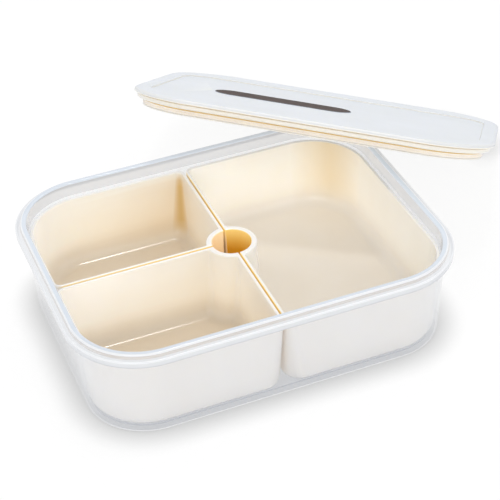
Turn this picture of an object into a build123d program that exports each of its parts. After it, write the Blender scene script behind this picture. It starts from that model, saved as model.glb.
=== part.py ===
from build123d import *
import os
from math import atan2, cos, radians, sin, tan

# Food storage container: a clear box, three cups that lift out of it, and a two-shell lid
# that leans on the box's back right corner. Sizes in millimetres, angles in degrees.
# Origin: middle of the box's underside. X runs along the long side, -Y is the front, Z is up.

# The rim is the widest outline, and every other outline is a step in from it
rim_length = 220.0
rim_width = 172.0
rim_radius = 42.0
box_height = 56.5

# Box walls
wall = 2.0
wall_draft = 2.8
floor_thickness = 1.9
base_radius = 1.5
cavity_foot_radius = 2.0

# Rim in section: a lip at the top, a flange below it and a short skirt at the flange's edge
lip_thickness = 3.3
lip_step = 3.0
lip_rise = 2.4
flange_thickness = 1.8
skirt_height = 3.8
skirt_thickness = 1.5
rim_rounding = 0.7

# Cups
cup_play = 1.2
cup_below_rim = 9.0
cup_draft = 2.5
cup_wall = 1.8
cup_floor = 1.8
cup_rounding = 0.7
seam_gap = 0.7
seam_draft = 1.0
seam_corner = 5.0
seam_corner_at_foot = 9.5
cup_foot_radius = 4.0
pocket_foot_radius = 7.0

# Finger well, made of one notch in each cup
well_radius = 11.0
well_wall = 3.2
well_blend = 2.0

# Lid, measured down from its top face; its outline stands a little way in from the rim's
lid_trim = 0.8
cover_thickness = 2.5
cover_rounding = 1.8
recess_length = 200.0
recess_width = 122.0
recess_radius = 18.0
recess_depth = 0.8
shell_gap = 0.6
shell_land = 3.5
base_flange_step = 2.1
base_flange_bottom = 5.7
plug_depth = 10.1
plug_play = 0.5
plug_wall = 2.0
plug_fit = 0.1
panel_top = 5.2
panel_thickness = 1.7
bead_height = 0.7

# Seal in the plug's groove
seal_depth = 2.0
seal_play = 0.05
seal_lip = 0.25

# Name plate in the recess
plate_length = 86.4
plate_width = 24.0
plate_thickness = 0.8
plate_proud = 0.2
plate_rounding = 0.18
plate_play = 0.1
plate_x = -24.7
plate_y = -5.3

# How the lid leans: turned about Z, tipped about its long side, and rolled along it
lid_turn = -32.6
lid_tilt = -26.1
lid_roll = 5.35
lid_touch_x = 11.8
lean_clearance = 0.3

# How near counts as touching when an edge or a corner is picked
near = 0.01

# Worked out from the sizes above
lip_inset = lip_step + lip_thickness
flange_top = box_height - lip_rise
flange_bottom = flange_top - flange_thickness
skirt_bottom = flange_top - skirt_height
wall_top_inset = lip_inset - wall
cup_inset = lip_inset + cup_play
cup_top = box_height - cup_below_rim
plug_inset = lip_inset + plug_play
plug_inside = plug_inset + seal_depth + plug_wall
panel_bottom = panel_top + panel_thickness
plate_bottom = recess_depth + plate_thickness - plate_proud


def outline(inset, z):
    """The rim's outline at height z, drawn in by inset."""
    shape = RectangleRounded(rim_length - 2 * inset, rim_width - 2 * inset, rim_radius - inset)
    return Pos(0, 0, z) * shape


def layer(inset, low, high):
    """A straight-sided plate with the rim's outline drawn in by inset."""
    return extrude(outline(inset, low), high - low)


def ring(outer_inset, inner_inset, low, high):
    """A straight-sided ring between two insets."""
    return layer(outer_inset, low, high) - layer(inner_inset, low, high)


def tub(inset, low, high, draft, radius):
    """A solid that narrows downwards from high to low, with a rounded foot."""
    solid = extrude(outline(inset, high), high - low, dir=(0, 0, -1), taper=draft)
    return fillet(solid.edges().group_by(Axis.Z)[0], radius)


def make_outer_box():
    """Clear box: drafted walls, and a rim of lip, flange and skirt."""
    flange = layer(0, flange_bottom, flange_top) + ring(0, skirt_thickness, skirt_bottom, flange_top)
    flange = fillet(flange.edges().group_by(Axis.Z)[-1], rim_rounding)
    body = tub(wall_top_inset, 0, flange_top, wall_draft, base_radius)
    lip = layer(lip_step, flange_bottom, box_height)
    cavity = tub(lip_inset, floor_thickness, box_height, wall_draft, cavity_foot_radius)
    box = body + flange + lip - cavity
    return fillet(box.edges().group_by(Axis.Z)[-1], rim_rounding)


def cup_section(split, inset, seam_inset, corner, notch, blend, z):
    """Plan of a cup's back right quarter at height z, drawn in by inset, and by seam_inset at seams.

    A split cup stops at the seam along X. A cup that isn't split runs on to the box's middle.
    """
    seam = seam_gap / 2 + seam_inset
    front = seam if split else 0
    window = Pos(seam + rim_length / 2, front + rim_width / 2) * Rectangle(rim_length, rim_width)
    plan = RectangleRounded(
        rim_length - 2 * (cup_inset + inset),
        rim_width - 2 * (cup_inset + inset),
        rim_radius - cup_inset - inset,
    )
    # The circle's own start point is turned away from the plan
    plan = (plan & window) - Rot(0, 0, 180) * Circle(notch)

    def on_seam(vertex):
        return abs(vertex.X - seam) < near or (split and abs(vertex.Y - seam) < near)

    far_corners = [v for v in plan.vertices() if on_seam(v) and Vector(v).length > notch + near]
    plan = fillet(far_corners, corner)
    if blend:
        lips = [v for v in plan.vertices() if on_seam(v) and Vector(v).length < notch + near]
        plan = fillet(lips, blend)
    return Pos(0, 0, z) * plan


def cup_solid(split, foot, inset, notch, blend, radius):
    """A quarter of a cup's body or pocket: it narrows down to foot, where its edge is rounded."""
    drop = cup_top - foot
    low = inset + drop * tan(radians(cup_draft))
    low_seam = inset + drop * tan(radians(seam_draft))
    low_notch = notch + drop * tan(radians(seam_draft))
    low_corner = seam_corner_at_foot - inset
    low_blend = low_corner if blend else 0
    mouth = cup_section(split, inset, inset, seam_corner - inset, notch, blend, cup_top)
    floor = cup_section(split, low, low_seam, low_corner, low_notch, low_blend, foot)
    solid = loft([floor, mouth], ruled=True)
    foot_edges = [e for e in solid.edges().group_by(Axis.Z)[0] if (e @ 0.5).Y > near]
    return fillet(foot_edges, radius)


def make_cup(split):
    """A cup in the box's back right quarter, or over the whole right side if it isn't split."""
    body = cup_solid(split, floor_thickness, 0, well_radius, 0, cup_foot_radius)
    floor = floor_thickness + cup_floor
    pocket = cup_solid(split, floor, cup_wall, well_radius + well_wall, well_blend, pocket_foot_radius)
    if not split:
        body += mirror(body, about=Plane.XZ)
        pocket += mirror(pocket, about=Plane.XZ)
    cup = body - pocket
    return fillet(cup.edges().group_by(Axis.Z)[-1], cup_rounding)


def lid_layer(outer_inset, top, bottom):
    """A plate of the lid between two depths below its top face."""
    return layer(outer_inset, -bottom, -top)


def make_lid_cover():
    """Top shell: a soft-edged plate with a shallow recess and a pocket for the name plate."""
    plate = lid_layer(lid_trim, 0, cover_thickness)
    plate = fillet(plate.edges().group_by(Axis.Z)[-1], cover_rounding)
    recess = extrude(RectangleRounded(recess_length, recess_width, recess_radius), -recess_depth)
    pocket = pill(plate_play, recess_depth, plate_bottom)
    return plate - recess - pocket


def pill(grow, top, bottom):
    """The name plate's outline, grown on all sides, between two depths below the lid's top face."""
    plan = SlotOverall(plate_length + 2 * grow, plate_width + 2 * grow)
    return extrude(Pos(plate_x, plate_y, -bottom) * plan, bottom - top)


def make_lid_base():
    """Lower shell: a land under the cover, the second flange and the closing panel."""
    land = lid_layer(lid_trim + shell_land, cover_thickness, base_flange_bottom)
    flange = lid_layer(lid_trim + base_flange_step, cover_thickness + shell_gap, base_flange_bottom)
    panel = lid_layer(plug_inside + plug_fit, base_flange_bottom, panel_bottom)
    hollow = lid_layer(plug_inside + plug_fit + plug_wall, cover_thickness, panel_top)
    return land + flange + panel - hollow


def make_lid_plug():
    """Ring under the lower shell that drops inside the box's rim, with the seal's groove in it."""
    plug = lid_layer(plug_inset, base_flange_bottom, plug_depth)
    seat = lid_layer(plug_inset + seal_depth, base_flange_bottom, plug_depth - bead_height)
    groove = lid_layer(plug_inset, base_flange_bottom, plug_depth - bead_height) - seat
    return plug - groove - lid_layer(plug_inside, base_flange_bottom, plug_depth)


def make_lid_seal():
    """Soft ring that fills the plug's groove and stands a little proud of it."""
    top = base_flange_bottom + seal_play
    bottom = plug_depth - bead_height - seal_play
    seal = lid_layer(plug_inset - seal_lip, top, bottom)
    seal -= lid_layer(plug_inset + seal_depth - seal_play, top, bottom)
    return seal


def make_name_plate():
    """Blank pill-shaped plate that stands slightly proud of the recess's floor."""
    plate = pill(0, plate_bottom - plate_thickness, plate_bottom)
    return fillet(plate.edges().group_by(Axis.Z)[-1], plate_rounding)


def lean_lid(shapes):
    """Place of the lid that leans: its lowest edge on the table, its panel on the rim's corner."""

    def turned(vector):
        return vector.rotate(Axis.Y, lid_roll).rotate(Axis.X, lid_tilt).rotate(Axis.Z, lid_turn)

    along = turned(Vector(1, 0, 0))
    up = turned(Vector(0, 0, 1))
    facing = atan2(up.Y, up.X)
    reach = rim_radius - lip_step - rim_rounding
    touch = Vector(
        rim_length / 2 - rim_radius + reach * cos(facing),
        rim_width / 2 - rim_radius + reach * sin(facing),
        box_height,
    )
    turn = Plane(origin=(0, 0, 0), x_dir=along, z_dir=up).location
    height = -min((turn * shape).bounding_box().min.Z for shape in shapes)
    # The panel's plane and the distance along the lid each give one equation for X and Y
    right_side = up.dot(touch) + panel_bottom + lean_clearance - up.Z * height
    right_along = along.dot(touch) - lid_touch_x - along.Z * height
    scale = up.X * along.Y - up.Y * along.X
    x = (right_side * along.Y - right_along * up.Y) / scale
    y = (right_along * up.X - right_side * along.X) / scale
    return Plane(origin=(x, y, height), x_dir=along, z_dir=up).location


def make_parts():
    """Every node of the container by its name."""
    back_right = make_cup(split=True)
    back_left = mirror(back_right, about=Plane.YZ)
    lid = {
        "lid_cover": make_lid_cover(),
        "lid_base": make_lid_base(),
        "lid_plug": make_lid_plug(),
        "lid_seal": make_lid_seal(),
        "lid_name_plate": make_name_plate(),
    }
    place = lean_lid(lid.values())
    parts = {
        "outer_box": make_outer_box(),
        "tray_back_left": back_left,
        "tray_front_left": mirror(back_left, about=Plane.XZ),
        "tray_right": make_cup(split=False),
    }
    for name, shape in lid.items():
        parts[name] = place * shape
    return parts


os.makedirs("parts", exist_ok=True)
for name, shape in make_parts().items():
    shape.label = name
    export_step(shape, f"parts/{name}.step")
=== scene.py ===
# %% [markdown]
# A food storage container: a clear box with three cups that lift out, and a lid that leans on
# its corner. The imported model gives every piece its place. This script gives each one a finer
# mesh and a moulded finish, and lights them like a plain product photograph.

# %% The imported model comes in
from math import atan2, ceil, cos, degrees, dist, pi, radians, sin, sqrt, tan

import bpy
from mathutils import Matrix, Vector


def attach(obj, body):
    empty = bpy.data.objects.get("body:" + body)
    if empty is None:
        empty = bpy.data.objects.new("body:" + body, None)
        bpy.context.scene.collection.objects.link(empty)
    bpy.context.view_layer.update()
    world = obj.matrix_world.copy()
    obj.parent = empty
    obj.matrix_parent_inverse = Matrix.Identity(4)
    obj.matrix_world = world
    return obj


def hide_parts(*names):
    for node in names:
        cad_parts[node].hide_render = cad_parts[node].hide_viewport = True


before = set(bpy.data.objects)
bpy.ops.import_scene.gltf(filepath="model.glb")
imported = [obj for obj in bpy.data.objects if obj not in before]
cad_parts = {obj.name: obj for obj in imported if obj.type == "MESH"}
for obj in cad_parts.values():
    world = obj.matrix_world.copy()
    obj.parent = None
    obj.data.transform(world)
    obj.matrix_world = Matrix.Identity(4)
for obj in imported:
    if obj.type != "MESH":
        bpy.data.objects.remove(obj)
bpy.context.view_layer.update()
print("nodes:", ", ".join(sorted(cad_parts)))

# %% [markdown]
# Every size below is written in millimetres, as a drawing would have it, and one function turns
# points into Blender's metres.

# %% Millimetres to metres
MM = 0.001


def metres(points):
    """Points in millimetres as vectors in metres."""
    return [Vector(point) * MM for point in points]


print("1 unit is a metre, 1 mm is", MM)

# %% [markdown]
# The camera is the first thing to settle, because every later choice is judged through it. The
# photograph was taken from the front left, 37 degrees above the table, with a long lens from
# about 0.9 m, so the box keeps nearly parallel sides.

# %% Camera
AZIMUTH = -20.706
ELEVATION = 36.978
ROLL = -2.488
DISTANCE = 884.1
LOOKS_AT = Vector((17.17, 15.38, 27.0))
FOCAL_LENGTH = 110.70
SHIFT = (-0.0019, -0.0053)


def camera_matrix():
    """The camera's place: back along the line of sight, level but for a slight roll."""
    turn = radians(AZIMUTH)
    tip = radians(ELEVATION)
    back = Vector((sin(turn) * cos(tip), -cos(turn) * cos(tip), sin(tip)))
    level = Vector((cos(turn), sin(turn), 0))
    upright = back.cross(level)
    right = cos(radians(ROLL)) * level + sin(radians(ROLL)) * upright
    up = back.cross(right)
    place = Matrix((right, up, back)).transposed().to_4x4()
    place.translation = (LOOKS_AT + back * DISTANCE) * MM
    return place


def add_camera():
    data = bpy.data.cameras.new("camera")
    data.lens = FOCAL_LENGTH
    data.shift_x, data.shift_y = SHIFT
    camera = bpy.data.objects.new("camera", data)
    camera.matrix_world = camera_matrix()
    bpy.context.collection.objects.link(camera)
    bpy.context.scene.camera = camera
    return camera


camera = add_camera()
print("camera at", [round(value, 3) for value in camera.matrix_world.translation])

# %% [markdown]
# Colours are written as the sRGB hex values that a picture shows, and one function turns them to
# the linear light that Blender mixes. Every point of a mesh gets a tint: its colour there, which
# often holds painted light and shade, and, as its fourth value, how cloudy the clear box looks or
# how much a coloured plastic glows with painted light.

# %% Colours
def linear(code, share=0.0):
    """A colour written as #RRGGBB, in linear light, with share as its fourth value."""
    channels = []
    for place in (1, 3, 5):
        value = int(code[place:place + 2], 16) / 255
        channels.append(value / 12.92 if value < 0.04045 else ((value + 0.055) / 1.055) ** 2.4)
    return channels + [share]


def blended(first, second, share):
    """A tint between two others."""
    share = min(max(share, 0.0), 1.0)
    return [a + (b - a) * share for a, b in zip(first, second)]


def along(value, start, end):
    """How far a value has gone from start to end, from 0 to 1."""
    return min(max((value - start) / (end - start), 0.0), 1.0)


WHITE = linear("#FFFFFF")
BLACK = linear("#000000")
print("white is", WHITE)

# %% [markdown]
# All three outlines here, of the rim, the lid's recess and the name plate, are rectangles with
# round corners. Such an outline is a core rectangle and a reach: each corner is an arc of that
# radius about a corner of the core. Drawing it in by a step only makes the reach smaller, so a
# whole moulded piece is a stack of the same outline at different reaches and heights.

# %% Outlines with round corners
CORNER_STEPS = 24
RIM_CORE = (68.0, 44.0)
RIM_REACH = 42.0


def outline(reach, height, core=RIM_CORE, centre=(0, 0)):
    """One loop of points, the same number for every outline."""
    loop = []
    for corner, (side_x, side_y) in enumerate([(1, 1), (-1, 1), (-1, -1), (1, -1)]):
        for step in range(CORNER_STEPS + 1):
            turn = (corner + step / CORNER_STEPS) * pi / 2
            x = centre[0] + side_x * core[0] + reach * cos(turn)
            y = centre[1] + side_y * core[1] + reach * sin(turn)
            loop.append((x, y, height))
    return loop


print("points in an outline:", len(outline(RIM_REACH, 0)))

# %% [markdown]
# The other direction of each piece is its section, as a toolmaker draws it: corners with a
# radius. Real mouldings have no knife edges, and it is these small radii that catch the light.
# A corner may name its own tint, often a painted highlight or painted shade, and the tint of the
# face after it. Where two tints meet, one changes to the other within a tenth of a millimetre.

# %% Sections with rounded corners
ARC_STEPS = 8
TINT_STEP = 0.12


def section(corners, tint=WHITE):
    """A line of (inset, height, tint) points through rounded corners.

    A corner is an inset, a height and a radius, and then its own tint and the next face's where
    they differ from the face before.
    """
    line = [(corners[0][0], corners[0][1], tint)]
    face = tint
    for before, corner, after in zip(corners, corners[1:], corners[2:]):
        here = Vector(corner[:2])
        radius = corner[2]
        own, following = corner[3:] if len(corner) > 3 else (face, face)
        way_in = (Vector(before[:2]) - here).normalized()
        way_out = (Vector(after[:2]) - here).normalized()
        half = way_in.angle(way_out) / 2
        middle = here + (way_in + way_out).normalized() * radius / sin(half)
        first = here + way_in * radius / tan(half)
        last = here + way_out * radius / tan(half)
        start = (first - middle).normalized()
        end = (last - middle).normalized()
        if own != face:
            line.append((*(first + way_in * TINT_STEP), face))
        for step in range(ARC_STEPS + 1):
            line.append((*(middle + radius * start.slerp(end, step / ARC_STEPS)), own))
        if own != following:
            line.append((*(last + way_out * TINT_STEP), following))
        face = following
    line.append((corners[-1][0], corners[-1][1], face))
    return line


def swept(line, grow=0.0, core=RIM_CORE, reach=RIM_REACH, centre=(0, 0)):
    """The loops that a section makes round an outline, and the tint of each point."""
    loops = [outline(reach + grow - inset, height, core, centre) for inset, height, _ in line]
    tints = [[tint] * len(loop) for loop, (_, _, tint) in zip(loops, line)]
    return loops, tints


print("a rounded corner takes", ARC_STEPS + 1, "points")

# %% [markdown]
# A skin over a stack of loops is quads all the way, which shade cleanly and reflect without
# ripples. Flat ends are single faces. Edges sharper than 40 degrees stay crisp, and weighted
# normals keep the flat faces flat beside their small radii.

# %% Skins over loops
def skin(name, loops, tints, body, nodes, ring=False):
    """A smooth-shaded mesh over loops, capped at both ends or closed into a ring."""
    count = len(loops[0])
    faces = []
    for row in range(len(loops) if ring else len(loops) - 1):
        low = row * count
        high = (row + 1) % len(loops) * count
        for here in range(count):
            there = (here + 1) % count
            faces.append((low + here, low + there, high + there, high + here))
    if not ring:
        faces.append(tuple(reversed(range(count))))
        faces.append(tuple(range((len(loops) - 1) * count, len(loops) * count)))
    mesh = bpy.data.meshes.new(name)
    mesh.from_pydata(metres(point for loop in loops for point in loop), [], faces)
    tint = mesh.attributes.new("tint", "FLOAT_COLOR", "POINT")
    tint.data.foreach_set("color", [value for row in tints for colour in row for value in colour])
    mesh.shade_smooth()
    mesh.set_sharp_from_angle(angle=radians(40))
    piece = bpy.data.objects.new(name, mesh)
    bpy.context.collection.objects.link(piece)
    normals = piece.modifiers.new("weighted_normals", "WEIGHTED_NORMAL")
    normals.keep_sharp = True
    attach(piece, body)
    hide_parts(*nodes)
    print(name, "faces:", len(mesh.polygons))
    return piece


# %% [markdown]
# The clear box is injection moulded in one shot, with walls that lean in by 2.8 degrees so that
# it leaves the mould. Its rim steps out twice: a lip that the lid's seal closes on, and a flange
# with a short skirt to hold it by. Where clear plastic is thick or turns away, it looks milky and
# pale blue. Painted white highlights run along the flange's and the lip's outer top edges and the
# outer foot, and painted dark lines of shade run along the skirt's lower edge and the inside foot.

# %% Clear box
BOX_HEIGHT = 56.5
FLANGE_TOP = 54.1
FLANGE_BOTTOM = 52.3
SKIRT_BOTTOM = 50.3
FLOOR = 1.9
LIP_OUTSIDE = 3.0
LIP_INSIDE = 6.3
WALL_OUTSIDE = 4.3
LEAN = tan(radians(2.8))
BAND_BOTTOM = 48.5
FLAT_INSET = 30.0

CLEAR_WALL = linear("#F4F5F7", 0.1)
CLEAR_INSIDE = linear("#EEF1F5", 0.08)
CLEAR_FLOOR = linear("#D9DCE2", 0.5)
# The next tint paints dark lines of shade on the skirt's lower edge and the inside foot
CLEAR_EDGE_PAINTED_SHADE = linear("#B9BDC6", 0.9)
CLEAR_BLUE = linear("#E0E9F4", 0.85)
CLEAR_GREY = linear("#E9E5E3", 0.6)
CLEAR_PALE = linear("#F0F2F5", 0.75)
# The next two tints are painted highlights, on the outer top edges and on the outer foot
CLEAR_PAINTED_HIGHLIGHT = linear("#F6F8FB", 0.95)
CLEAR_FOOT_PAINTED_HIGHLIGHT = linear("#F6F7F9", 0.9)
CLEAR_BAND = linear("#DEDFE2", 0.5)


def wall_outside(height):
    """How far in from the rim's edge the wall's outer face is at a height."""
    return WALL_OUTSIDE + (FLANGE_TOP - height) * LEAN


def wall_inside(height):
    """How far in from the rim's edge the wall's inner face is at a height."""
    return LIP_INSIDE + (BOX_HEIGHT - height) * LEAN


# The wall goes straight on below the band, so its corner there gets a hair's breadth of a step
hair = 0.02
box_section = section([
    (FLAT_INSET, 0, 0),
    (wall_outside(0), 0, 1.5, CLEAR_FOOT_PAINTED_HIGHLIGHT, CLEAR_WALL),
    (wall_outside(FLANGE_BOTTOM), FLANGE_BOTTOM, 0.6),
    (1.5, FLANGE_BOTTOM, 0.4),
    (1.5, SKIRT_BOTTOM, 0.35, CLEAR_EDGE_PAINTED_SHADE, CLEAR_EDGE_PAINTED_SHADE),
    (0, SKIRT_BOTTOM, 0.4, CLEAR_EDGE_PAINTED_SHADE, CLEAR_PALE),
    (0, FLANGE_TOP, 0.7, CLEAR_PAINTED_HIGHLIGHT, CLEAR_PALE),
    (LIP_OUTSIDE, FLANGE_TOP, 0.4, CLEAR_GREY, CLEAR_GREY),
    (LIP_OUTSIDE, BOX_HEIGHT, 0.8, CLEAR_PAINTED_HIGHLIGHT, CLEAR_BLUE),
    (LIP_INSIDE, BOX_HEIGHT, 0.8, CLEAR_BLUE, CLEAR_BAND),
    (wall_inside(BAND_BOTTOM) + hair, BAND_BOTTOM, 0.5, CLEAR_BAND, CLEAR_INSIDE),
    (wall_inside(FLOOR), FLOOR, 2, CLEAR_EDGE_PAINTED_SHADE, CLEAR_FLOOR),
    (FLAT_INSET, FLOOR, 0),
], CLEAR_FLOOR)
box = skin("clear_box", *swept(box_section), "box", ["outer_box"])

# %% [markdown]
# The cups' plan isn't one outline but a chain of arcs: the box's own corner, two small corners at
# the seams, and a notch with a wall round the finger well. A function gives the arcs for any
# inset, so the outside, the rounded top and the pocket are again one stack of loops. It also says
# how far each point belongs to a seam or the well, where an amber glow and shade are painted for
# the light that has gone through the plastic. Along a seam's corner that share falls from near 1
# to near 0.

# %% Plan of a cup
SEAM = 0.35
CUP_REACH = RIM_REACH - 7.5
REACH_STEPS = 20
SMALL_STEPS = 8
WELL_STEPS = 16
ON_SEAM = 0.92
OFF_SEAM = 0.12


def arc(centre_x, centre_y, radius, start, end, steps, seam_start, seam_end, well=0):
    """Points along an arc between two angles in degrees.

    Each point also has its shares of the seam's and the well's tints.
    """
    points = []
    for step in range(steps + 1):
        part = step / steps
        turn = radians(start + (end - start) * part)
        points.append((centre_x + radius * cos(turn), centre_y + radius * sin(turn),
                       seam_start + (seam_end - seam_start) * part, well))
    return points


def cup_plan(split, inset, seam_inset, notch, corner, lip):
    """The back right cup's plan, or the large right cup's where it isn't split."""
    reach = CUP_REACH - inset
    seam = SEAM + seam_inset
    corner_x, corner_y = RIM_CORE
    side = corner_y + reach
    lip_x = seam + lip
    lip_y = sqrt((notch + lip) ** 2 - lip_x**2)
    bend = degrees(atan2(lip_y, lip_x))
    plan = arc(corner_x, corner_y, reach, 0, 90, REACH_STEPS, 0, 0)
    plan += arc(seam + corner, side - corner, corner, 90, 180, SMALL_STEPS, OFF_SEAM, ON_SEAM)
    plan += arc(lip_x, lip_y, lip, 180, 180 + bend, SMALL_STEPS, 1, 1)
    if split:
        end = corner_x + reach - corner
        plan += arc(0, 0, notch, bend, 90 - bend, WELL_STEPS, 1, 1, 1)
        plan += arc(lip_y, lip_x, lip, 270 - bend, 270, SMALL_STEPS, 1, 1)
        plan += arc(end, seam + corner, corner, 270, 360, SMALL_STEPS, ON_SEAM, OFF_SEAM)
    else:
        plan += arc(0, 0, notch, bend, -bend, 2 * WELL_STEPS, 1, 1, 1)
        plan += arc(lip_x, -lip_y, lip, 180 - bend, 180, SMALL_STEPS, 1, 1)
        plan += arc(seam + corner, corner - side, corner, 180, 270, SMALL_STEPS, 1, 0)
        plan += arc(corner_x, -corner_y, reach, 270, 360, REACH_STEPS, 0, 0)
    return plan


print("points in a small cup's plan:", len(cup_plan(True, 0, 0, 11, 5, 0.6)))

# %% [markdown]
# Each cup is thin-walled polypropylene. Its outer walls lean in by 2.5 degrees and its seam walls
# by 1 degree, so neighbours touch only along their tops. The corners open up towards the floor,
# which makes the food easy to spoon out. Shading from light that bounces between the walls is
# painted into the tints, warmer and darker towards the floor and with a painted glow, so the tints
# change with height, and long walls get rows of points to carry them.

# %% Cups
CUP_TOP = 47.5
CUP_WALL = 1.8
CUP_FOOT = 2.0
CUP_FLOOR = 3.7
CUP_LEAN = tan(radians(2.5))
SEAM_LEAN = tan(radians(1.0))
WELL_RADIUS = 11.0
WELL_WALL = 3.2
CORNER_TOP = 5.0
CORNER_GROWS = 5.5
LIP_INSIDE_WELL = 2.0
LIP_OUTSIDE_WELL = 0.6
SMALLEST_CORNER = 0.6
SMALLEST_LIP = 0.5
TOP_ROUNDING = 0.7
OUTER_FOOT = 4.0
POCKET_FOOT = 8.0
CUP_FLAT_INSET = 20.0
LONGEST_ROW = 5.0

CUP_OUTSIDE = linear("#F0EEED")
CUP_RIM = linear("#EFEEEC")
# Painted amber shade for the small cups' tight corners
CUP_CORNER_PAINTED_SHADE = linear("#E2C080", 0.02)
# Painted shade and glow for the pockets: light at the top, glowing lower down, darker floors
LARGE_CUP_PAINTED_SHADE_AND_GLOW = [linear("#FCFAF5", 0.02), linear("#FCF8F0", 0.07), linear("#E5DFD6", 0.0)]
SMALL_CUP_PAINTED_SHADE_AND_GLOW = [linear("#FBF7EF", 0.01), linear("#FBF1DF", 0.18), linear("#DCD0BE", 0.02)]
# Painted light towards the small cups' outer ends
CUP_END_PAINTED_LIGHT = linear("#FFFDF9", 0.14)
# Painted shade, warmer, in the large cup's corner under the lid
CUP_PAINTED_LID_SHADE = linear("#F2E2C4", 0.0)
# Painted amber glow and shade for the seams and the notch, and painted glow for the wells
SEAM_PAINTED_AMBER_GLOW = linear("#F3D888", 0.18)
NOTCH_PAINTED_AMBER_SHADE = linear("#DCA41A", 0.06)
SEAM_LOW_PAINTED_GLOW = linear("#F1DEBF", 0.05)
WELL_PAINTED_GLOW = linear("#F8E4BE", 0.25)
WELL_FADE = 14.0
SEAM_FADE = 9.0
FLOOR_PAINTED_SHADE_FADE = 20.0
CORNER_PAINTED_SHADE_FADE = 10.0
END_PAINTED_LIGHT_FADE = (55.0, 100.0)
LID_SHADE_FADE_X = (66.0, 90.0)
LID_SHADE_FADE_Y = (42.0, 66.0)
FAR_PAINTED_GLOW_FADE = (-75.0, 75.0)
FAR_PAINTED_GLOW = 0.22


def outside_tint(height, seam, well, split):
    """Near white outside, with painted amber glow and shade under a seam's top and down the large
    cup's notch.
    """
    drop = CUP_TOP - height
    own = blended(CUP_RIM, CUP_OUTSIDE, along(drop, 0.25, 0.75))
    if well and split:
        deep = WELL_PAINTED_GLOW
    elif well:
        deep = blended(SEAM_PAINTED_AMBER_GLOW, NOTCH_PAINTED_AMBER_SHADE, drop / WELL_FADE)
    else:
        deep = blended(SEAM_PAINTED_AMBER_GLOW, SEAM_LOW_PAINTED_GLOW, drop / SEAM_FADE)
    return blended(own, deep, seam**4 * along(drop, 0.1, 0.3))


def pocket_tint(x, y, height, seam, split):
    """White on the rounded top, with painted shade and glow, warmer towards the floor, and painted
    amber shade in the tight corners.

    The small cups get painted light towards their outer ends. The large cup gets a painted glow at
    its far end, and warmer painted shade in its corner there, under the lid.
    """
    light, deep, bottom = SMALL_CUP_PAINTED_SHADE_AND_GLOW if split else LARGE_CUP_PAINTED_SHADE_AND_GLOW
    drop = CUP_TOP - height
    rise = height - CUP_FLOOR
    down = (drop - TOP_ROUNDING) / (CUP_TOP - CUP_FLOOR)
    tint = blended(light, deep, down)
    if split:
        tint = blended(tint, CUP_END_PAINTED_LIGHT, along(x, *END_PAINTED_LIGHT_FADE))
    else:
        tint = blended(tint, CUP_PAINTED_LID_SHADE, min(along(x, *LID_SHADE_FADE_X), along(y, *LID_SHADE_FADE_Y)))
    # Painted shade, darker on the floor
    tint = blended(tint, bottom, along(rise, FLOOR_PAINTED_SHADE_FADE, 0) ** 2)
    if split and y > x:
        # The painted corner shade is strongest half-way round the corner, and fades out at its top
        # and at its foot
        middle = (4 * seam * (1 - seam)) ** 1.5
        tint = blended(tint, CUP_CORNER_PAINTED_SHADE, middle * min(8 * down, along(rise, 0, CORNER_PAINTED_SHADE_FADE)))
    # The large cup's painted glow, stronger lower down and towards its far end
    if not split:
        red, green, blue, painted_glow = tint
        painted_glow += FAR_PAINTED_GLOW * (0.3 + 0.75 * down) * along(y, *FAR_PAINTED_GLOW_FADE) ** 2
        tint = [red, green, blue, painted_glow]
    return blended(CUP_RIM, tint, along(drop, 0.2, 0.6))


def with_steps(line, longest):
    """The (inset, height) points of a line, and more where two are over longest apart."""
    places = [point[:2] for point in line]
    points = places[:1]
    for before, after in zip(places, places[1:]):
        steps = ceil(dist(before, after) / longest)
        points += [blended(before, after, step / steps) for step in range(1, steps + 1)]
    return points


def cup_loops(split):
    """The loops of one cup, from under its floor, up outside, over the top and down inside."""
    loops = []
    tints = []
    wall = section([
        (CUP_FLAT_INSET, CUP_FOOT, 0),
        ((CUP_TOP - CUP_FOOT) * CUP_LEAN, CUP_FOOT, OUTER_FOOT),
        (0, CUP_TOP, TOP_ROUNDING),
        (CUP_WALL / 2, CUP_TOP, 0),
    ])
    pocket = section([
        (CUP_WALL / 2, CUP_TOP, 0),
        (CUP_WALL, CUP_TOP, TOP_ROUNDING),
        (CUP_WALL + (CUP_TOP - CUP_FLOOR) * CUP_LEAN, CUP_FLOOR, POCKET_FOOT),
        (CUP_FLAT_INSET, CUP_FLOOR, 0),
    ])
    for line, inside in ((wall[1:], False), (pocket[1:-1], True)):
        own_wall = CUP_WALL if inside else 0
        for inset, height in with_steps(line, LONGEST_ROW):
            depth = CUP_TOP - height
            fall = depth / (CUP_TOP - CUP_FLOOR)
            further = inset - own_wall - depth * CUP_LEAN
            seam_inset = inset - depth * (CUP_LEAN - SEAM_LEAN)
            notch = WELL_RADIUS + (WELL_WALL if inside else 0) + seam_inset - own_wall
            opening = CORNER_TOP + CORNER_GROWS * fall - own_wall
            if inside:
                lip = LIP_INSIDE_WELL + (opening - LIP_INSIDE_WELL) * fall
            else:
                lip = LIP_OUTSIDE_WELL
            corner = max(opening - further, SMALLEST_CORNER)
            lip = max(lip - further, SMALLEST_LIP)
            plan = cup_plan(split, inset, seam_inset, notch, corner, lip)
            loops.append([(x, y, height) for x, y, _, _ in plan])
            if inside:
                tints.append([pocket_tint(x, y, height, seam, split) for x, y, seam, _ in plan])
            else:
                tints.append(
                    [outside_tint(height, seam, well, split) for _, _, seam, well in plan])
    return loops, tints


def mirrored(made, x, y):
    """The same loops and tints on the other side of the box.

    One mirror alone would turn the skin inside out, so each loop then runs the other way round.
    """
    loops, tints = made
    way = x * y
    loops = [[(px * x, py * y, pz) for px, py, pz in loop][::way] for loop in loops]
    return loops, [row[::way] for row in tints]


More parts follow.
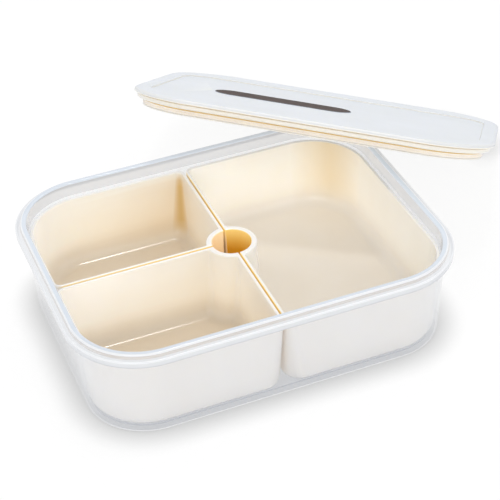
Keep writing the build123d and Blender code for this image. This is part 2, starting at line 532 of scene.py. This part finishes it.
small = cup_loops(True)
cups = [
    skin("back_left_cup", *mirrored(small, -1, 1), "cup_back_left", ["tray_back_left"]),
    skin("front_left_cup", *mirrored(small, -1, -1), "cup_front_left", ["tray_front_left"]),
    skin("right_cup", *cup_loops(False), "cup_right", ["tray_right"]),
]

# %% [markdown]
# The lid is drawn lying flat with its top face at height 0, as it was moulded, and every point is
# then carried to where the lid leans: its lower edge on the table, its underside on the box's
# back right corner.

# %% How the lid leans
LID_PLACE = Vector((103.013, 104.509, 49.846))
LID_TURN = Matrix.Rotation(radians(-32.6), 3, "Z")
LID_TILT = Matrix.Rotation(radians(-26.1), 3, "X")
LID_ROLL = Matrix.Rotation(radians(5.35), 3, "Y")
LID_TURNED = LID_TURN @ LID_TILT @ LID_ROLL


def leaned(made):
    """Loops of the flat lid, carried to where it leans, with their tints."""
    loops, tints = made
    loops = [[LID_TURNED @ Vector(point) + LID_PLACE for point in loop] for loop in loops]
    return loops, tints


tip = LID_TURNED.col[2].angle(Vector((0, 0, 1)))
print("lid tips by", round(degrees(tip), 1), "degrees")

# %% [markdown]
# The cover is the lid's top shell: soft-edged, with a shallow recess that has a pill-shaped
# pocket in its floor. Rim, recess and pocket are three different outlines, but they have the
# same number of points, so the flat faces between them are plain rings of quads.

# %% Lid cover
LID_TRIM = 0.8
COVER = 2.5
RECESS_CORE = (82.0, 43.0)
RECESS_REACH = 18.0
RECESS = 0.8
PILL_CORE = (31.2, 0.0)
PILL_REACH = 12.0
PILL_CENTRE = (-24.7, -5.3)
PILL_PLAY = 0.1
PILL_FLOOR = 1.4

# The top's cool grey is a painted reflection, and the top edge and the recess foot get painted
# shade
LID_TOP_WITH_PAINTED_REFLECTION = linear("#E4E7EA")
LID_SIDE = linear("#F3F1EC")
# A warm painted glow that lightens the faces under the cover and under the flange
LID_UNDER_PAINTED_GLOW = linear("#F1E6D2", 0.1)
LID_EDGE_PAINTED_SHADE = linear("#E0E2E5")
LID_RECESS_PAINTED_SHADE = linear("#E2DED4")

cover_edge = section([
    (FLAT_INSET, -COVER, 0),
    (0, -COVER, 0.3, LID_SIDE, LID_SIDE),
    (0, 0, 1.8, LID_EDGE_PAINTED_SHADE, LID_TOP_WITH_PAINTED_REFLECTION),
    (6, 0, 0),
], LID_UNDER_PAINTED_GLOW)
recess_wall = section([
    (-2, 0, 0),
    (0, 0, 0.35),
    (0.25, -RECESS, 0.35, LID_RECESS_PAINTED_SHADE, LID_TOP_WITH_PAINTED_REFLECTION),
    (15, -RECESS, 0),
], LID_TOP_WITH_PAINTED_REFLECTION)
pocket_wall = section([
    (-1.5, -RECESS, 0),
    (-PILL_PLAY, -RECESS, 0.1),
    (-PILL_PLAY, -PILL_FLOOR, 0.1),
    (1, -PILL_FLOOR, 0),
], LID_TOP_WITH_PAINTED_REFLECTION)
cover_parts = [
    swept(cover_edge, -LID_TRIM),
    swept(recess_wall, 0, RECESS_CORE, RECESS_REACH),
    swept(pocket_wall, 0, PILL_CORE, PILL_REACH, PILL_CENTRE),
]
cover_loops = [loop for loops, _ in cover_parts for loop in loops]
cover_tints = [row for _, tints in cover_parts for row in tints]
cover = skin("lid_top_shell", *leaned((cover_loops, cover_tints)), "lid", ["lid_cover"])

# %% [markdown]
# The lower shell clips under the cover, and the dark line between the two is their parting gap.
# It carries the second flange, the plug that drops inside the box's rim, and the groove for the
# seal.

# %% Lid base
GAP = 0.02
BASE_TOP = COVER + GAP
BASE_EDGE = LID_TRIM + 2.1
LAND_EDGE = LID_TRIM + 3.5
BASE_FLANGE_TOP = 3.1
BASE_FLANGE_BOTTOM = 5.7
PANEL_EDGE = 10.9
PANEL_BOTTOM = 6.9
PLUG_OUTSIDE = 6.8
PLUG_INSIDE = 10.8
PLUG_TOP = BASE_FLANGE_BOTTOM + GAP
PLUG_BOTTOM = 10.1
GROOVE_BACK = 8.8
GROOVE_BOTTOM = 9.4

# The faces under the flange and in the gap carry the painted glow
base_section = section([
    (FLAT_INSET, -PANEL_BOTTOM, 0),
    (PANEL_EDGE, -PANEL_BOTTOM, 0.8),
    (PANEL_EDGE, -BASE_FLANGE_BOTTOM, 0.1, LID_UNDER_PAINTED_GLOW, LID_UNDER_PAINTED_GLOW),
    (BASE_EDGE, -BASE_FLANGE_BOTTOM, 0.9, LID_SIDE, LID_SIDE),
    (BASE_EDGE, -BASE_FLANGE_TOP, 0.5, LID_SIDE, LID_UNDER_PAINTED_GLOW),
    (LAND_EDGE, -BASE_FLANGE_TOP, 0.1),
    (LAND_EDGE, -BASE_TOP, 0.1),
    (FLAT_INSET, -BASE_TOP, 0),
], LID_SIDE)
# A ring's section starts and ends side by side on a flat face
plug_section = section([
    (PLUG_INSIDE, -8.0, 0),
    (PLUG_INSIDE, -PLUG_BOTTOM, 0.5),
    (PLUG_OUTSIDE, -PLUG_BOTTOM, 0.3),
    (PLUG_OUTSIDE, -GROOVE_BOTTOM, 0.1),
    (GROOVE_BACK, -GROOVE_BOTTOM, 0.2),
    (GROOVE_BACK, -PLUG_TOP, 0.1),
    (PLUG_INSIDE, -PLUG_TOP, 0.1),
    (PLUG_INSIDE, -7.9, 0),
], LID_SIDE)
base = skin("lid_lower_shell", *leaned(swept(base_section)), "lid", ["lid_base"])
plug = skin("lid_plug_ring", *leaned(swept(plug_section)), "lid", ["lid_plug"], ring=True)

# %% [markdown]
# The seal is a silicone ring. Its two small ribs are what touches the box, because two narrow
# lines seal with less push than one broad band.

# %% Seal
# The seal's ivory carries a painted glow, and its upper rib a painted amber shade
SEAL_IVORY_PAINTED_GLOW = linear("#F6F0E8", 0.07)
SEAL_PAINTED_SHADE = linear("#E0C48C", 0.05)
SEAL_BACK = 8.7
SEAL_FRONT = 6.9
SEAL_RIB = 6.55
SEAL_TOP = 5.8
SEAL_BOTTOM = 9.3

seal_section = section([
    (SEAL_BACK, -7.5, 0),
    (SEAL_BACK, -SEAL_BOTTOM, 0.2),
    (SEAL_FRONT, -SEAL_BOTTOM, 0.3),
    (SEAL_RIB, -8.6, 0.4),
    (7.0, -7.6, 0.3),
    (SEAL_RIB, -6.6, 0.4, SEAL_PAINTED_SHADE, SEAL_PAINTED_SHADE),
    (SEAL_FRONT, -SEAL_TOP, 0.3),
    (SEAL_BACK, -SEAL_TOP, 0.2),
    (SEAL_BACK, -7.4, 0),
], SEAL_IVORY_PAINTED_GLOW)
seal = skin("lid_seal_ring", *leaned(swept(seal_section)), "lid", ["lid_seal"], ring=True)

# %% [markdown]
# The name plate is a blank dark pill that stands 0.2 mm proud of the recess.

# %% Name plate
PLATE_BROWN = linear("#4E3A32")
# The plate's rounded top edge carries a painted bluish highlight
PLATE_PAINTED_HIGHLIGHT = linear("#A9B6C2")
PLATE_TOP = RECESS - 0.2
PLATE_BOTTOM = PILL_FLOOR - 0.02

plate_section = section([
    (4, -PLATE_BOTTOM, 0),
    (0, -PLATE_BOTTOM, 0.1),
    (0, -PLATE_TOP, 0.18, PLATE_PAINTED_HIGHLIGHT, PLATE_BROWN),
    (4, -PLATE_TOP, 0),
], PLATE_BROWN)
plate_loops = swept(plate_section, 0, PILL_CORE, PILL_REACH, PILL_CENTRE)
plate = skin("blank_plate", *leaned(plate_loops), "lid", ["lid_name_plate"])

# %% [markdown]
# A material is a small tree of nodes. One function adds a node of any kind, two short ones make
# the sums and colour mixes that come up most, and another gives a finished material to pieces.

# %% Nodes
def add_node(tree, kind, inputs, **settings):
    """A node with its settings, and with its inputs set to values or linked to other sockets."""
    node = tree.nodes.new(kind)
    for name, value in settings.items():
        setattr(node, name, value)
    for key, value in inputs.items():
        if isinstance(value, bpy.types.NodeSocket):
            tree.links.new(value, node.inputs[key])
        else:
            node.inputs[key].default_value = value
    return node


def worked_out(tree, operation, *values):
    """The result of a sum on numbers or sockets."""
    inputs = dict(enumerate(values))
    return add_node(tree, "ShaderNodeMath", inputs, operation=operation).outputs[0]


def mixed(tree, share, first, second, how="MIX"):
    """A mix of two colours. Sockets 6, 7 and 2 are the node's colour ones."""
    inputs = {"Factor": share, 6: first, 7: second}
    node = add_node(tree, "ShaderNodeMix", inputs, data_type="RGBA", blend_type=how)
    return node.outputs[2]


def noise(tree, place, size_mm, detail):
    """Noise with patches of about this size."""
    inputs = {"Vector": place, "Scale": 1 / (size_mm * MM), "Detail": detail}
    return add_node(tree, "ShaderNodeTexNoise", inputs).outputs["Fac"]


def new_material(name):
    """An empty material and its tree."""
    material = bpy.data.materials.new(name)
    material.use_nodes = True
    material.node_tree.nodes.clear()
    return material, material.node_tree


def give(material, slot, *pieces):
    """Puts a finish on pieces. The slot is not used."""
    for piece in pieces:
        piece.data.materials.clear()
        piece.data.materials.append(material)
    print(material.name, "on", ", ".join(piece.name for piece in pieces))


print("node kinds start with ShaderNode")

# %% [markdown]
# The cups and the lid are injection-moulded polypropylene. It is slightly cloudy: light goes a
# millimetre or two into it, so thin walls glow. Where a tint asks for it, the plastic also glows
# with painted light. Gentle patches shift its colour and gloss, as a mould's polish does, and a
# very fine grain breaks up the reflections. Seen edge-on, its colour is painted a little darker
# and bluer, a painted shade that draws a soft outline round each piece. The dark plate has a
# lower index than real ABS, because the photograph shows it dark at a grazing angle, where the
# white studio would wash it out.

# %% Moulded plastics
# A painted shade, darker and bluer, on faces seen edge-on
OUTLINE_PAINTED_SHADE = linear("#CDD6E8")
OUTLINE_POWER = 8.0
POLISH = 0.04
GRAIN_MM = 0.7
GRAIN_DEPTH = 0.05 * MM
SCATTER_DEPTH = 2 * MM
SCATTER_COLOUR = (1.0, 0.9, 0.6)


def moulded_plastic(name, patchy, rough, scatter, wave_mm, bump, index=1.49):
    """A plastic in its tints, with their painted light and shade, and patches a little darker and a
    little glossier.
    """
    material, tree = new_material(name)
    tint = add_node(tree, "ShaderNodeAttribute", {}, attribute_name="tint")
    place = add_node(tree, "ShaderNodeTexCoord", {}).outputs["Object"]
    patches = noise(tree, place, wave_mm, 3)
    grain = noise(tree, place, GRAIN_MM, 2)
    darker = mixed(tree, patches, WHITE, linear(patchy))
    colour = mixed(tree, 1.0, tint.outputs["Color"], darker, "MULTIPLY")
    turned = add_node(tree, "ShaderNodeLayerWeight", {"Blend": 0.5}).outputs["Facing"]
    edge_on = worked_out(tree, "POWER", turned, OUTLINE_POWER)
    colour = mixed(tree, edge_on, colour, OUTLINE_PAINTED_SHADE, "MULTIPLY")
    polish = add_node(tree, "ShaderNodeMapRange", {
        "Value": patches, "To Min": rough - POLISH, "To Max": rough + POLISH})
    relief = add_node(tree, "ShaderNodeBump", {
        "Height": grain, "Strength": bump, "Distance": GRAIN_DEPTH})
    shader = add_node(tree, "ShaderNodeBsdfPrincipled", {
        "Base Color": colour,
        "Roughness": polish.outputs["Result"],
        "Normal": relief.outputs["Normal"],
        "IOR": index,
        "Subsurface Weight": scatter,
        "Subsurface Scale": SCATTER_DEPTH,
        "Subsurface Radius": SCATTER_COLOUR,
        # The tint's fourth value is a painted glow
        "Emission Color": colour,
        "Emission Strength": tint.outputs["Alpha"],
    })
    add_node(tree, "ShaderNodeOutputMaterial", {"Surface": shader.outputs["BSDF"]})
    return material


ivory = moulded_plastic(
    "injection_moulded_ivory_polypropylene", "#FAF7F2",
    rough=0.14, scatter=0.2, wave_mm=25, bump=0.06)
give(ivory, "ivory_cup", *cups)
white = moulded_plastic(
    "injection_moulded_white_polypropylene", "#FAF9F5",
    rough=0.3, scatter=0.15, wave_mm=30, bump=0.06)
give(white, "ivory_lid", cover, base, plug)
silicone = moulded_plastic(
    "moulded_silicone", "#F3EFEA", rough=0.5, scatter=0.3, wave_mm=12, bump=0.08)
give(silicone, "soft_seal", seal)
brown = moulded_plastic(
    "gloss_brown_abs", "#C8BAB0", rough=0.25, scatter=0.0, wave_mm=6, bump=0.05, index=1.03)
give(brown, "dark_plate", plate)

# %% [markdown]
# The box is clear copolyester, polished in the mould. Its surface mirrors the studio like glass,
# and under the mirror most light goes straight through. What stays in the plastic is a pale haze,
# thin on the walls and thick on the rim's edges, and the haze glows with painted light. The
# mirror's share is 5 % head-on and rises with the fifth power towards the edge, on both sides of
# the wall alike.

# %% Clear copolyester
HEAD_ON = 0.05
EDGE_POWER = 5.0
# The haze glows with painted light at this strength
HAZE_PAINTED_GLOW = 0.42
DIMMED = 0.5
THICKEST_HAZE = 0.8
FLOW_MM = 40
FLOW_DEPTH = 0.2 * MM


def clear_plastic():
    """A mirror that grows towards the edges, over a haze with a painted glow that lets the rest
    through.
    """
    material, tree = new_material("polished_clear_copolyester")
    tint = add_node(tree, "ShaderNodeAttribute", {}, attribute_name="tint")
    place = add_node(tree, "ShaderNodeTexCoord", {}).outputs["Object"]
    flow = noise(tree, place, FLOW_MM, 1)
    polish = add_node(tree, "ShaderNodeMapRange", {"Value": flow, "To Min": 0.04, "To Max": 0.08})
    relief = add_node(tree, "ShaderNodeBump", {
        "Height": flow, "Strength": 0.1, "Distance": FLOW_DEPTH})
    edge_on = add_node(tree, "ShaderNodeLayerWeight", {"Blend": 0.15}).outputs["Facing"]
    haze = add_node(tree, "ShaderNodeMapRange", {
        "Value": edge_on, "To Min": tint.outputs["Alpha"], "To Max": THICKEST_HAZE})
    body = add_node(tree, "ShaderNodeBsdfPrincipled", {
        "Base Color": mixed(tree, DIMMED, tint.outputs["Color"], BLACK),
        "Roughness": polish.outputs["Result"],
        "IOR": 1.57,
        "Specular IOR Level": 0.0,
        "Alpha": haze.outputs["Result"],
        "Emission Color": tint.outputs["Color"],
        "Emission Strength": HAZE_PAINTED_GLOW,
    })
    mirror = add_node(tree, "ShaderNodeBsdfGlossy", {
        "Color": WHITE,
        "Roughness": polish.outputs["Result"],
        "Normal": relief.outputs["Normal"],
    })
    turned = add_node(tree, "ShaderNodeLayerWeight", {
        "Blend": 0.5, "Normal": relief.outputs["Normal"]}).outputs["Facing"]
    rise = worked_out(tree, "POWER", turned, EDGE_POWER)
    share = worked_out(tree, "MULTIPLY_ADD", rise, 1 - HEAD_ON, HEAD_ON)
    both = add_node(tree, "ShaderNodeMixShader", {
        0: share, 1: body.outputs["BSDF"], 2: mirror.outputs["BSDF"]})
    add_node(tree, "ShaderNodeOutputMaterial", {"Surface": both.outputs["Shader"]})
    return material


give(clear_plastic(), "clear_box", box)

# %% [markdown]
# The table and the background are one plain white, kept white for the camera and in reflections
# only, so that it adds no light to the object. It stands for a table lit from below: the soft
# shadow right beside the object stays, and a tenth of the paper's own light and shadow.

# %% Which rays see plain white
def sees_white(tree):
    """1 for what the camera sees directly, in a reflection or through the clear box."""
    path = add_node(tree, "ShaderNodeLightPath", {})
    seen = path.outputs["Is Camera Ray"]
    for kind in ("Is Glossy Ray", "Is Transmission Ray"):
        seen = worked_out(tree, "MAXIMUM", seen, path.outputs[kind])
    return seen


# %% Floor
FLOOR_REACH = 3.0
FLOOR_HEIGHT = -0.2 * MM
SHADOW_REACH = 18 * MM
OPENNESS_DEEPEST = 0.45
OPENNESS_CLEAR = 0.97
DEEPEST = 0.6
PLAIN = 0.9


def add_floor():
    """White paper just below the box, with the soft shadow beside whatever stands on it."""
    mesh = bpy.data.meshes.new("floor")
    corners = [(-1, -1), (1, -1), (1, 1), (-1, 1)]
    points = [(x * FLOOR_REACH, y * FLOOR_REACH, 0) for x, y in corners]
    mesh.from_pydata(points, [], [(0, 1, 2, 3)])
    floor = bpy.data.objects.new("floor", mesh)
    floor.location.z = FLOOR_HEIGHT
    bpy.context.collection.objects.link(floor)
    material, tree = new_material("matt_white_paper")
    beside = add_node(tree, "ShaderNodeAmbientOcclusion", {"Distance": SHADOW_REACH})
    soft = add_node(tree, "ShaderNodeMapRange", {
        "Value": beside.outputs["AO"],
        "From Min": OPENNESS_DEEPEST,
        "From Max": OPENNESS_CLEAR,
        "To Min": DEEPEST,
        "To Max": 1.0,
    })
    paper = add_node(tree, "ShaderNodeBsdfDiffuse", {"Color": WHITE})
    shine = add_node(tree, "ShaderNodeEmission", {
        "Color": WHITE, "Strength": soft.outputs["Result"]})
    seen = worked_out(tree, "MULTIPLY", sees_white(tree), PLAIN)
    mix = add_node(tree, "ShaderNodeMixShader", {
        0: seen, 1: paper.outputs[0], 2: shine.outputs[0]})
    add_node(tree, "ShaderNodeOutputMaterial", {"Surface": mix.outputs[0]})
    mesh.materials.append(material)
    return floor


floor = add_floor()
print("floor at", floor.location.z)

# %% [markdown]
# Soft light comes from two large panels in front, the left one stronger, a smaller one behind and
# an even sky. A narrow panel overhead draws the thin highlights along the pockets' feet.

# %% Lights
SKY = 0.78


def add_panel(name, where, width, height, power):
    """A soft white light that faces the box."""
    data = bpy.data.lights.new(name, "AREA")
    data.energy = power
    data.shape = "RECTANGLE"
    data.size = width
    data.size_y = height
    light = bpy.data.objects.new(name, data)
    light.location = Vector(where)
    light.rotation_euler = (-Vector(where)).to_track_quat("-Z", "Y").to_euler()
    bpy.context.collection.objects.link(light)
    return light


add_panel("overhead", (0.21, 0.15, 1.5), 0.2, 0.12, 3).rotation_euler = (0, 0, 0)
add_panel("back_right", (0.45, 0.75, 1.25), 0.5, 0.5, 3)
add_panel("front_left", (-0.9, -1.25, 0.85), 1.0, 1.0, 6)
add_panel("front_right", (1.0, -1.15, 0.85), 1.0, 1.0, 2)


def light_world():
    """An even sky that lights the object, and plain white where the camera looks past it."""
    world = bpy.data.worlds.new("studio")
    world.use_nodes = True
    tree = world.node_tree
    tree.nodes.clear()
    soft = add_node(tree, "ShaderNodeBackground", {"Color": WHITE, "Strength": SKY})
    pure = add_node(tree, "ShaderNodeBackground", {"Color": WHITE, "Strength": 1.0})
    mix = add_node(tree, "ShaderNodeMixShader", {
        0: sees_white(tree), 1: soft.outputs[0], 2: pure.outputs[0]})
    add_node(tree, "ShaderNodeOutputWorld", {"Surface": mix.outputs[0]})
    bpy.context.scene.world = world


light_world()
bpy.context.scene.view_settings.view_transform = "Standard"
print("lights:", [light.name for light in bpy.data.lights])
